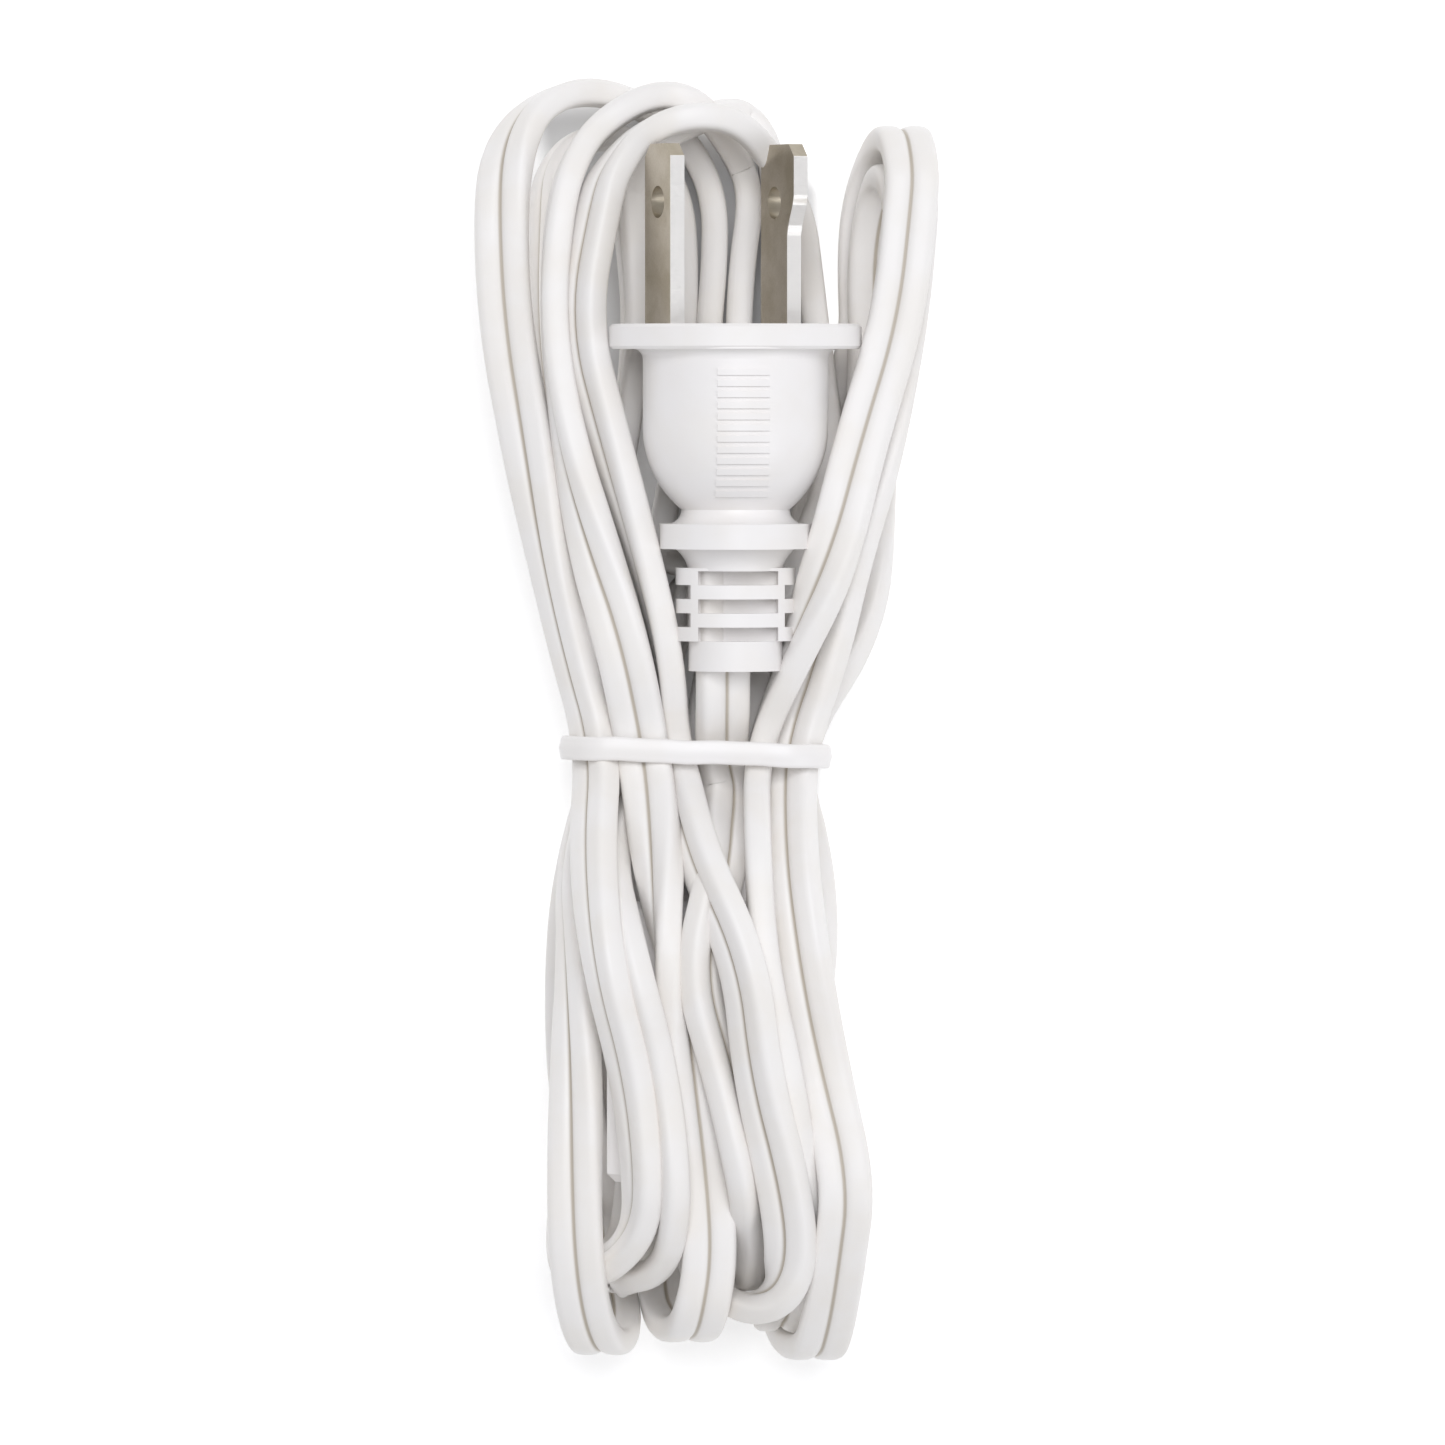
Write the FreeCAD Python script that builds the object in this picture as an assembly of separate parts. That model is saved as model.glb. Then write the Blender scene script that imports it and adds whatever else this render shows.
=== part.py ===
"""Two-wire household extension cord wound into a long hank and held by a twist tie.

Millimetres, +Z up. The hank lies on z = 0 with its length along Y, and its plug's blades point to +Y.
"""
import FreeCAD, Part
import math
import os

V = FreeCAD.Vector
bend_radii = []            # of the copper strands, filled as they are made

# ---- cord -----------------------------------------------------------------
cord_wide = 5.4            # flat twin lead, across both lobes
cord_thick = 2.7           # through one lobe
web_thick = 1.7            # through the joint between the lobes
strand_r = 0.6             # bundle of copper strands in each lobe
core_r = 1.25              # one insulated core, where the two are split apart
core_straight = 1.0        # straight run of a core at each end
core_reach = 0.9           # a core's bend starts this far before its corner

# ---- hank -----------------------------------------------------------------
hank_bottom = -64.4        # far end of the lower loops
hank_top = 64.4            # far end of the upper loops
waist_left, waist_right = -14.1, 11.4
waist_low, waist_high = 3.2, 16.4
waist_corner = 4.0
waist_y = -3.1             # where the tie goes round
waist_slant = -2.0         # degrees, the tie's tilt seen from above
waist_run = 8.0            # length of the straight neck under the tie
back_layer = 5.5           # height of the strands that lie on the ground
fit_gap = 0.3              # room between the cord and what it lies against
under_trim = 0.5           # loops are made this far below the ground, then cut flat at it

# ---- tie ------------------------------------------------------------------
tie_wide = 2.4
tie_thick = 0.9
tie_wire_r = 0.25
tail_r = 1.0
tail_length = 13.0

# ---- blades ---------------------------------------------------------------
blade_spacing = 12.7
blade_thick = 1.5
blade_wide = 6.35
wide_blade_extra = 1.6     # the polarised blade's step, on one edge
wide_blade_step = 12.8     # from the face to where the blade has its full width
wide_blade_ramp = 4.0      # over which it widens
blade_length = 17.9
blade_chamfer = 1.3
blade_hole_r, blade_hole_at = 1.6, 12.1
shank_sunk = 2.4           # full width below the face
tail_wide, tail_run = 3.0, 7.0
crimp_half_spacing, crimp_r, crimp_length = 4.0, 1.35, 4.5

# ---- plug -----------------------------------------------------------------
plug_x, plug_y, plug_z = 1.4, 39.6, 16.7   # centre of the blades at the flange's face
plug_lean = 2.0            # degrees, blade end up
body_roll = 5.0            # degrees about the plug's length, of the moulded body
blade_roll = 24.0          # of the blades, the holder and the lead
body_offset = 1.25         # moulded body's axis, beside the blades' middle
flange_edge = 0.3
bell_r = blade_spacing / 2 + 2.9         # 9.25: room for the blades' crimps
flange_wide, flange_tall, flange_thick = 2 * bell_r + 6.7, 2 * bell_r + 2.1, 2.5   # 25.2 x 20.6
bell_straight = 7.9        # straight part of the bell under the flange
bell_length = 16.0
neck_r = 5.4               # where the bell's curve ends
flange_fillet = 1.0
collar_r, collar_thick = 7.6, 2.5
collar_gap = 1.4           # from the bell's end to the collar
cone_r, cone_length = 4.7, 2.2
cage_wide, cage_tall, cage_length = 12.0, 8.4, 10.0
cage_bar = 1.4             # each bar and each slot of the strain relief
cage_block = 3.0           # solid end of the strain relief
bar_half = 4.7             # half width of the front bars
bar_joint = 0.7            # how far front and side bars run into each other
panel_wide, panel_length, panel_proud = 5.2, 14.2, 0.25
panel_below = 2.0          # from the flange to the panel
ridge_pitch, ridge_wide = 1.1, 0.6
holder_r = blade_spacing / 2 + blade_thick / 2 + 0.8   # 7.9: closed round both blades
holder_tall, holder_length, holder_sunk = 8.4, 6.0, 1.6
holder_offset = 0.6        # holder's axis, beside the blades' middle

# ---- connector ------------------------------------------------------------
socket_x, socket_y, socket_z = 0.6, -46.0, 11.45    # middle of the front face
socket_corner = 2.4
cap_length = 4.0           # front insulator with the two slots
slot_thick, narrow_slot, wide_slot = 2.1, 6.9, 8.5
socket_wide, socket_tall, socket_length = blade_spacing + 8.9, wide_slot + 3.1, 28.0   # 21.6 x 11.6
leaf_thick, leaf_wide, leaf_length = 0.5, 6.0, 13.0
socket_crimp = 3.0         # length of the contact's crimped barrel
socket_neck_r, socket_neck_length = 3.4, 5.0
chamber_clear = 0.25


def box(x0, x1, y0, y1, z0, z1):
    return Part.makeBox(x1 - x0, y1 - y0, z1 - z0, V(x0, y0, z0))


def rod(radius, start, end):
    start, end = V(*start), V(*end)
    return Part.makeCylinder(radius, (end - start).Length, start, end - start)


def bent_rod(radius, points):
    """Round rod along straight runs joined by tangent arcs that start core_reach before each corner."""
    points = [V(*p) for p in points]
    edges, start = [], points[0]
    for before, corner, after in zip(points, points[1:], points[2:]):
        back, ahead = (before - corner), (after - corner)
        back.normalize()
        ahead.normalize()
        turn = math.pi - back.getAngle(ahead)
        bend = core_reach / math.tan(turn / 2)
        inward = back + ahead
        inward.normalize()
        middle = corner + inward * (bend / math.cos(turn / 2) - bend)
        edges.append(Part.LineSegment(start, corner + back * core_reach).toShape())
        edges.append(Part.Arc(corner + back * core_reach, middle, corner + ahead * core_reach).toShape())
        start = corner + ahead * core_reach
        bend_radii.append(round(bend, 2))
    edges.append(Part.LineSegment(start, points[-1]).toShape())
    circle = Part.Wire(Part.Circle(points[0], points[1] - points[0], radius).toShape())
    return Part.Wire(edges).makePipeShell([circle], True, True)


def rounded_wire(x0, x1, z0, z1, corner, y):
    """Rectangle with round corners, in the plane at y."""
    r = min(corner, 0.49 * (x1 - x0), 0.49 * (z1 - z0))
    k = r * (1 - math.sqrt(0.5))
    lines = [((x0 + r, z0), (x1 - r, z0)), ((x1, z0 + r), (x1, z1 - r)),
             ((x1 - r, z1), (x0 + r, z1)), ((x0, z1 - r), (x0, z0 + r))]
    middles = [(x1 - k, z0 + k), (x1 - k, z1 - k), (x0 + k, z1 - k), (x0 + k, z0 + k)]
    edges = []
    for i, (a, b) in enumerate(lines):
        after = lines[(i + 1) % 4][0]
        edges.append(Part.LineSegment(V(a[0], y, a[1]), V(b[0], y, b[1])).toShape())
        edges.append(Part.Arc(V(b[0], y, b[1]), V(middles[i][0], y, middles[i][1]),
                              V(after[0], y, after[1])).toShape())
    return Part.Wire(edges)


def prism(wire, y_length):
    return Part.Face(wire).extrude(V(0, y_length, 0))


def loft(sections):
    """Ruled body through round-cornered sections, each (y, x0, x1, z0, z1, corner)."""
    wires = [rounded_wire(x0, x1, z0, z1, c, y) for y, x0, x1, z0, z1, c in sections]
    return Part.makeLoft(wires, True, True)


def oval(wide, tall, y, length, x=0.0):
    """Elliptical disc along -Y from y."""
    curve = Part.Ellipse(V(x + wide / 2, y, 0), V(x, y, tall / 2), V(x, y, 0))
    return Part.Face(Part.Wire(curve.toShape())).extrude(V(0, -length, 0))


def turned(points_and_arcs, x=0.0):
    """Solid of revolution about the Y direction through x, from a closed outline of (r, y)."""
    edges = []
    for item in points_and_arcs:
        pts = [V(x + r, y, 0) for r, y in item]
        if len(pts) == 2:
            edges.append(Part.LineSegment(*pts).toShape())
        else:
            edges.append(Part.Arc(*pts).toShape())
    return Part.Face(Part.Wire(edges)).revolve(V(x, 0, 0), V(0, 1, 0), 360)


def rolled(shape, degrees):
    moved = shape.copy()
    moved.rotate(V(0, 0, 0), V(0, 1, 0), degrees)
    return moved


def on_plug(shape):
    """From the plug's own frame, with its face at y = 0, to the hank's."""
    moved = shape.copy()
    moved.rotate(V(0, 0, 0), V(1, 0, 0), plug_lean)
    moved.translate(V(plug_x, plug_y, plug_z))
    return moved


def on_waist(shape):
    moved = shape.copy()
    moved.rotate(V((waist_left + waist_right) / 2, waist_y, 0), V(0, 0, 1), waist_slant)
    return moved


def twin_section(y, length):
    """Flat twin lead: two round lobes and the web between them."""
    r = cord_thick / 2
    centre = cord_wide / 2 - r
    lobes = [Part.makeCylinder(r, length, V(s * centre, y, 0), V(0, -1, 0)) for s in (-1, 1)]
    web = box(-centre * 0.55, centre * 0.55, y - length, y, -web_thick / 2, web_thick / 2)
    return lobes[0].fuse([lobes[1], web]).removeSplitter()


# Heights along the plug, from its face down to the lead.
bell_top = -flange_thick
arc_start = bell_top - bell_straight
bell_end = bell_top - bell_length
collar_top = bell_end - collar_gap
collar_end = collar_top - collar_thick
cage_top = collar_end - cone_length
cage_end = cage_top - cage_length


bell_drop = bell_length - bell_straight
bell_arc = (bell_drop ** 2 + (bell_r - neck_r) ** 2) / (2 * (bell_r - neck_r))


def bell_radius_at(y):
    """Radius of the bell's curve at a height below its straight part, which the curve leaves smoothly."""
    return bell_r - bell_arc + math.sqrt(bell_arc ** 2 - (y - arc_start) ** 2)


def plug_shell():
    neck = neck_r
    middle = (arc_start + bell_end) / 2
    f = flange_fillet
    k = f * (1 - math.sqrt(0.5))
    flare = (neck + collar_r) / 2
    x = body_offset
    body = turned([
        ((0, bell_top + 0.2), (bell_r + f, bell_top + 0.2)),
        ((bell_r + f, bell_top + 0.2), (bell_r + f, bell_top)),
        ((bell_r + f, bell_top), (bell_r + k, bell_top - k), (bell_r, bell_top - f)),
        ((bell_r, bell_top - f), (bell_r, arc_start)),
        ((bell_r, arc_start), (bell_radius_at(middle), middle), (neck, bell_end)),
        ((neck, bell_end), ((neck + flare) / 2 - 0.25, bell_end - collar_gap * 0.6), (flare, collar_top)),
        ((flare, collar_top), (collar_r, collar_top)),
        ((collar_r, collar_top), (collar_r, collar_end)),
        ((collar_r, collar_end), (collar_r * 0.8, collar_end)),
        ((collar_r * 0.8, collar_end), (cone_r + 0.4, (collar_end + cage_top) / 2), (cone_r, cage_top)),
        ((cone_r, cage_top), (0, cage_top)),
        ((0, cage_top), (0, bell_top + 0.2)),
    ], x)
    flange = oval(flange_wide, flange_tall, 0, flange_thick, x)
    flange = flange.makeChamfer(flange_edge, flange.Edges)
    return flange.fuse(body)


def grip_ridges():
    """Raised ridges across the front and the back of the bell."""
    grown = turned([
        ((0, bell_top), (bell_r + panel_proud, bell_top)),
        ((bell_r + panel_proud, bell_top), (bell_r + panel_proud, arc_start)),
        ((bell_r + panel_proud, arc_start),
         (bell_radius_at((arc_start + bell_end) / 2) + panel_proud, (arc_start + bell_end) / 2),
         (neck_r + panel_proud, bell_end)),
        ((neck_r + panel_proud, bell_end), (0, bell_end)),
        ((0, bell_end), (0, bell_top)),
    ], body_offset)
    count = int(min(panel_length, bell_length - panel_below) / ridge_pitch)
    x0, x1 = body_offset - panel_wide / 2, body_offset + panel_wide / 2
    bars = []
    for i in range(count):
        y = bell_top - panel_below - i * ridge_pitch
        bars.append(box(x0, x1, y - ridge_wide, y, -2 * bell_r, 2 * bell_r))
    return grown.common(bars[0].fuse(bars[1:]))


def strain_relief():
    """Oval sleeve cut by slots that alternate between front and sides, and a solid end."""
    sleeve = oval(cage_wide, cage_tall, cage_top + 0.3, cage_length + 0.3, body_offset)
    slots = []
    y = cage_top
    depth = cord_thick / 2
    for i in range(5):
        if i % 2 == 0:
            for side in (-1, 1):
                z = side * (depth + cage_tall) / 2
                half = (cage_tall - depth) / 2
                slots.append(box(body_offset - bar_half + bar_joint, body_offset + bar_half - bar_joint,
                                 y - cage_bar, y, z - half, z + half))
        else:
            for side in (-1, 1):
                x = body_offset + side * (bar_half + cage_wide) / 2
                half = (cage_wide - bar_half) / 2
                slots.append(box(x - half, x + half, y - cage_bar, y, -cage_tall, cage_tall))
        y -= cage_bar
    block_top = cage_end + cage_block
    waist = box(-cage_wide, cage_wide, cage_end, block_top, -cage_tall, cage_tall)
    block = oval(2 * bar_half, cage_tall, block_top, cage_block, body_offset)
    return sleeve.cut(slots + [waist]).fuse(block)


def blade_centre(side):
    return side * blade_spacing / 2


def blade(side):
    """Flat blade with a hole near its tip, a tail that jogs inwards and a crimped barrel."""
    wide = side > 0
    x = blade_centre(side)
    h, t = blade_wide / 2, blade_thick / 2
    tip = h + (wide_blade_extra if wide else 0.0)
    c = blade_chamfer
    outline = [(-h, -shank_sunk), (h, -shank_sunk)]
    if wide:
        soft, ramp = 0.2 * wide_blade_extra, wide_blade_ramp
        outline += [(h, wide_blade_step - ramp), (h + soft, wide_blade_step - 0.75 * ramp),
                    (tip - soft, wide_blade_step - 0.25 * ramp), (tip, wide_blade_step)]
    outline += [(tip, blade_length - c), (tip - c, blade_length), (-h + c, blade_length),
                (-h, blade_length - c)]
    wire = Part.makePolygon([V(x - t, y, z) for z, y in outline + outline[:1]])
    plate = Part.Face(wire).extrude(V(blade_thick, 0, 0))
    hole = Part.makeCylinder(blade_hole_r, 4 * t, V(x - 2 * t, blade_hole_at, 0), V(1, 0, 0))
    tail_end = -shank_sunk - tail_run
    tail = box(x - t, x + t, tail_end, -shank_sunk, -tail_wide / 2, tail_wide / 2)
    crimp = side * crimp_half_spacing
    jog = box(min(x, crimp), max(x, crimp), tail_end, tail_end + blade_thick, -tail_wide / 2, tail_wide / 2)
    barrel = Part.makeCylinder(crimp_r, crimp_length, V(crimp, tail_end, 0), V(0, -1, 0))
    bore = Part.makeCylinder(strand_r, crimp_length, V(crimp, tail_end, 0), V(0, -1, 0))
    return plate.fuse([tail, jog, barrel]).cut([hole, bore]).removeSplitter()


crimp_top = -shank_sunk - tail_run
crimp_end = crimp_top - crimp_length
lead_start = bell_end - 1.5
lead_end = cage_end - 3.0
lobe_at = cord_wide / 2 - cord_thick / 2


def split_core(side, wide_at, wide_y, crimp_y, narrow_y, lead_y):
    """Strands and their insulation, from a crimp to one lobe of the flat lead, along Y."""
    way = 1 if lead_y > wide_y else -1
    crimp, lobe = side * wide_at, side * lobe_at
    bend_from = (crimp, crimp_y + way * core_straight, 0)
    bend_to = (lobe, narrow_y - way * core_straight, 0)
    strands = bent_rod(strand_r, [(crimp, wide_y, 0), bend_from, bend_to, (lobe, lead_y, 0)])
    sleeve = bent_rod(core_r, [(crimp, crimp_y, 0), bend_from, bend_to, (lobe, narrow_y, 0)])
    return strands, sleeve


def make_plug():
    strands, cores, blades = {}, {}, {}
    for s in (-1, 1):
        strands[s], cores[s] = split_core(s, crimp_half_spacing, crimp_top, crimp_end, lead_start, lead_end)
        blades[s] = blade(s)
    lead = twin_section(lead_start, lead_start - lead_end)
    holder = Part.makeCylinder(holder_r, holder_length, V(holder_offset, -holder_sunk, 0), V(0, -1, 0))
    holder = holder.common(box(-20, 20, -20, 0, -holder_tall / 2, holder_tall / 2))
    holder = holder.cut([blades[-1], blades[1]])
    pieces = {"plug_blade_hot": blades[-1], "plug_blade_neutral": blades[1], "plug_blade_holder": holder,
              "plug_strands_hot": strands[-1], "plug_strands_neutral": strands[1],
              "plug_core_hot": cores[-1].cut(strands[-1]), "plug_core_neutral": cores[1].cut(strands[1]),
              "plug_lead": lead.cut([strands[-1], strands[1]])}
    pieces = {name: rolled(shape, blade_roll) for name, shape in pieces.items()}
    bores = [rod(strand_r, (s * crimp_half_spacing, crimp_top, 0), (s * crimp_half_spacing, crimp_end, 0))
             for s in (-1, 1)]
    moulded_round = [blades[-1], blades[1], holder, cores[-1], cores[1], lead] + bores
    shell = rolled(plug_shell().fuse([grip_ridges(), strain_relief()]), body_roll)
    pieces["plug_body"] = shell.cut([rolled(shape, blade_roll) for shape in moulded_round])
    return {name: on_plug(shape) for name, shape in pieces.items()}


def make_tie():
    """Flat plastic ribbon round the waist with a wire along its middle, and its twisted ends."""
    def ring(grow):
        return rounded_wire(waist_left - grow, waist_right + grow, waist_low - grow, waist_high + grow,
                            waist_corner + grow, waist_y - tie_wide / 2)
    outer, inner = prism(ring(tie_thick), tie_wide), prism(ring(0.0), tie_wide)
    path = ring(tie_thick / 2)
    path.translate(V(0, tie_wide / 2, 0))
    start = path.Edges[0].Vertexes[0].Point
    circle = Part.Wire(Part.Circle(start, V(1, 0, 0), tie_wire_r).toShape())
    wire = path.makePipeShell([circle], True, True)
    tail_z = waist_low - tie_thick - tail_r
    middle = (waist_left + waist_right) / 2
    tail = rod(tail_r, (middle, waist_y, tail_z), (middle + tail_length, waist_y, tail_z))
    tail = tail.makeChamfer(tail_r * 0.4, tail.Edges)
    return {"tie_ribbon": on_waist(outer.cut(inner).cut(wire)), "tie_wire": on_waist(wire),
            "tie_twist": on_waist(tail)}


def contact(side):
    """Folded spring contact: two leaves, a bridge behind them and a crimped barrel."""
    x = blade_centre(side)
    gap = slot_thick / 2 + chamber_clear
    front, back = cap_length + chamber_clear, cap_length + chamber_clear + leaf_length
    half = leaf_wide / 2
    leaves = [box(x + s * (gap + leaf_thick / 2) - leaf_thick / 2, x + s * (gap + leaf_thick / 2) + leaf_thick / 2,
                  front, back, -half, half) for s in (-1, 1)]
    bridge = box(x - gap - leaf_thick, x + gap + leaf_thick, back - leaf_thick, back, -half, half)
    barrel = Part.makeCylinder(crimp_r, socket_crimp, V(x, back, 0), V(0, 1, 0))
    bore = Part.makeCylinder(strand_r, socket_crimp, V(x, back, 0), V(0, 1, 0))
    return leaves[0].fuse([leaves[1], bridge, barrel]).cut(bore).removeSplitter()


def make_connector():
    """Moulded single outlet, in a frame with its face at y = 0 and its lead at +Y."""
    back = cap_length + chamber_clear + leaf_length
    crimp_back = back + socket_crimp
    neck_end = socket_length + socket_neck_length
    lead_from, lead_to = socket_length - 1.5, neck_end + 3.0
    leaf_gap = slot_thick / 2 + chamber_clear + leaf_thick + chamber_clear
    outer = prism(rounded_wire(-socket_wide / 2, socket_wide / 2, -socket_tall / 2, socket_tall / 2,
                               socket_corner, 0), socket_length)
    outer = outer.makeChamfer(0.8, outer.Edges)
    neck = Part.makeCone(socket_neck_r * 1.35, socket_neck_r, socket_neck_length, V(0, socket_length, 0), V(0, 1, 0))
    shell = outer.fuse(neck)
    slots, chambers, moulded_round, pieces = [], [], [], {}
    for side, slot_wide, name in ((-1, narrow_slot, "hot"), (1, wide_slot, "neutral")):
        x = blade_centre(side)
        slots.append(box(x - slot_thick / 2, x + slot_thick / 2, 0, cap_length, -slot_wide / 2, slot_wide / 2))
        half = max(slot_wide, leaf_wide) / 2
        chambers.append(box(x - leaf_gap, x + leaf_gap, cap_length, back, -half, half))
        strands, core = split_core(side, blade_spacing / 2, back, crimp_back, lead_from, lead_to)
        moulded_round += [contact(side), core]
        pieces["connector_contact_" + name] = contact(side)
        pieces["connector_strands_" + name] = strands
        pieces["connector_core_" + name] = core.cut(strands)
    lead = twin_section(lead_to, lead_to - lead_from)
    pieces["connector_lead"] = lead.cut([pieces["connector_strands_hot"], pieces["connector_strands_neutral"]])
    bores = [rod(strand_r, (s * blade_spacing / 2, back, 0), (s * blade_spacing / 2, crimp_back, 0))
             for s in (-1, 1)]
    cap_half_x, cap_half_z = socket_wide / 2 - 1.3, socket_tall / 2 - 1.3
    cap = prism(rounded_wire(-cap_half_x, cap_half_x, -cap_half_z, cap_half_z, socket_corner - 1.0, 0), cap_length)
    pieces["connector_face"] = cap.cut(slots)
    pieces["connector_body"] = shell.cut([cap, lead] + chambers + moulded_round + bores)
    for shape in pieces.values():
        shape.translate(V(socket_x, socket_y, socket_z))
    return pieces


def make_hank():
    """Outer shape of the wound turns: a waist, loops that open in depth, and arms beside the plug."""
    inset = 0.6                # the loops start this far inside the waist
    x0, x1 = waist_left + inset, waist_right - inset
    z0, z1 = waist_low + inset, waist_high - inset
    low = -under_trim
    lower = loft([(waist_y - waist_run / 4, x0, x1, z0, z1, waist_corner),
                  (-19, -13.2, 12.2, low, 22.5, 2.5), (-30, -15.6, 13.8, low, 25.3, 2.5),
                  (-45, -16.4, 15.6, low, 25.5, 2.5), (-57, -16.0, 15.9, low, 22.5, 2.5),
                  (-62.5, -14.6, 14.6, 1.2, 18.5, 2.5), (hank_bottom, -13.0, 13.2, 3.5, 15.0, 2.5)])
    waist = on_waist(prism(rounded_wire(waist_left, waist_right, waist_low, waist_high, waist_corner,
                                        waist_y - waist_run / 2 - 1.0), waist_run + 2.0))
    top = waist_y + waist_run / 4
    left = loft([(top, x0, -1.0, z0, z1, 2.5), (12, -17.3, -4.6, low, 18.5, 2.5),
                 (26, -19.8, -7.4, low, 20.5, 2.5), (38, -23.0, -9.7, low, 21, 2.5),
                 (50, -24.2, -9.4, low, 21, 2.5), (58.2, -22.0, -7.0, 1, 20, 2.5),
                 (hank_top, -15.5, -9.0, 5, 15, 2.0)])
    crown = loft([(57.8, -20.0, 6.2, 1, 17, 2.0), (60.3, -18.5, 5.0, 1, 17, 2.0),
                  (hank_top - 1.0, -16.5, -3.0, 4.5, 15, 2.0)])
    right = loft([(top, 2.0, x1, z0, z1, 2.5), (12, 7.0, 15.3, low, 18.5, 2.5),
                  (26, 10.9, 19.5, low, 20.5, 2.5), (38, 14.2, 22.2, low, 21, 2.5),
                  (50, 14.6, 24.2, low, 21, 2.5), (56.5, 15.5, 24.0, 1, 19, 2.5),
                  (59.2, 17.0, 21.5, 4, 15, 2.0)])
    web = loft([(top, x0 + inset, x1 - inset, z0 + inset, 8.0, 1.5), (12, -15.0, 14.0, low, back_layer, 1.5),
                (38, -20.0, 20.0, low, back_layer, 1.5), (57.8, -20.0, 20.0, low, back_layer, 1.5),
                (60.3, -18.0, 6.0, 2.0, back_layer + 2.0, 1.5)])
    table = box(-60, 60, hank_bottom - 5, hank_top + 5, -5, 0)
    return lower.fuse([waist, left, right, web, crown]).cut(table)


def cut_room(hank, plug, connector):
    """Opens the loops round the plug, the connector and their leads."""
    g = fit_gap
    x = body_offset
    flange_room = oval(flange_wide + 2 * g, flange_tall + 2 * g, g, flange_thick + 2 * g, x)
    bell_room = turned([
        ((0, 0), (bell_r + panel_proud + g, 0)),
        ((bell_r + panel_proud + g, 0), (bell_r + panel_proud + g, arc_start)),
        ((bell_r + panel_proud + g, arc_start), (collar_r + g, bell_end)),
        ((collar_r + g, bell_end), (collar_r + g, collar_end - g)),
        ((collar_r + g, collar_end - g), (0, collar_end - g)),
        ((0, collar_end - g), (0, 0)),
    ], x)
    fillet_room = oval(2 * (bell_r + flange_fillet + g), 2 * (bell_r + flange_fillet + g),
                       bell_top, flange_fillet + g, x)
    cage_room = oval(cage_wide + 2 * g, cage_tall + 2 * g, collar_end, collar_end - cage_end + g, x)
    blade_half = blade_spacing / 2 + blade_thick
    blades_room = box(-blade_half - g, blade_half + g, 0, blade_length + g,
                      -blade_wide / 2 - g, blade_wide / 2 + wide_blade_extra + g)
    room = rolled(flange_room.fuse([bell_room, fillet_room, cage_room]), body_roll)
    room = on_plug(room.fuse(rolled(blades_room, blade_roll)))
    above = box(plug_x + x - bell_r * 0.9, plug_x + x + bell_r * 0.9, plug_y + collar_end, plug_y,
                plug_z, hank_top)
    narrow = box(plug_x + x - bar_half, plug_x + x + bar_half, plug_y + cage_end - g, plug_y + collar_end,
                 plug_z - 2.0, hank_top)
    tunnel = box(-30, 30, hank_bottom + 7.5, socket_y + socket_length + g,
                 socket_z - socket_tall / 2 - g, socket_z + socket_tall / 2 + g)
    neck_room = rod(socket_neck_r * 1.35 + g, (socket_x, socket_y + socket_length, socket_z),
                    (socket_x, socket_y + socket_length + socket_neck_length, socket_z))
    leads = [plug["plug_lead"], plug["plug_strands_hot"], plug["plug_strands_neutral"],
             connector["connector_lead"], connector["connector_strands_hot"],
             connector["connector_strands_neutral"]]
    return hank.cut([room, above, narrow, tunnel, neck_room] + leads)


def main():
    os.makedirs("parts", exist_ok=True)
    plug, connector, tie = make_plug(), make_connector(), make_tie()
    nodes = dict(plug)
    nodes.update(connector)
    nodes.update(tie)
    nodes["cord_hank"] = cut_room(make_hank(), plug, connector)
    for name, shape in sorted(nodes.items()):
        shape.exportStep("parts/" + name + ".step")
        b = shape.BoundBox
        print(f"{name:26s} solids {len(shape.Solids)} valid {shape.isValid()} volume {shape.Volume:9.2f} "
              f"x {b.XMin:7.2f} {b.XMax:7.2f} y {b.YMin:7.2f} {b.YMax:7.2f} z {b.ZMin:6.2f} {b.ZMax:6.2f}")
    print("both uncoiled stretches of lead are straight; bend radii inside the mouldings:", sorted(set(bend_radii)))


main()
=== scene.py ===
import bpy
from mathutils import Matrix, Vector
import numpy as np


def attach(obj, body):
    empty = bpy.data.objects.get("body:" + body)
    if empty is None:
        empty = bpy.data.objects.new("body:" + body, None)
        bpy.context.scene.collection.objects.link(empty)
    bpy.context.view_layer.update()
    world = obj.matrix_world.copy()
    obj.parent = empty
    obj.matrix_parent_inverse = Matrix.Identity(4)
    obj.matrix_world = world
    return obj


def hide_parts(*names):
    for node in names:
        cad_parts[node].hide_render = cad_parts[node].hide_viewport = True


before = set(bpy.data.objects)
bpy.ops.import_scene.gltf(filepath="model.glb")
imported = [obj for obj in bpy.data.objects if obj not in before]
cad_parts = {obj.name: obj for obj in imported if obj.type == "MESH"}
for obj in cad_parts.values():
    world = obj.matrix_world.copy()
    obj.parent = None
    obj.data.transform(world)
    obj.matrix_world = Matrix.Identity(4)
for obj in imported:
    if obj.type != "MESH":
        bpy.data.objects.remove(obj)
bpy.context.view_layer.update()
mm = 0.001
print("frame loaded:", len(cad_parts), "nodes")


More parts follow.
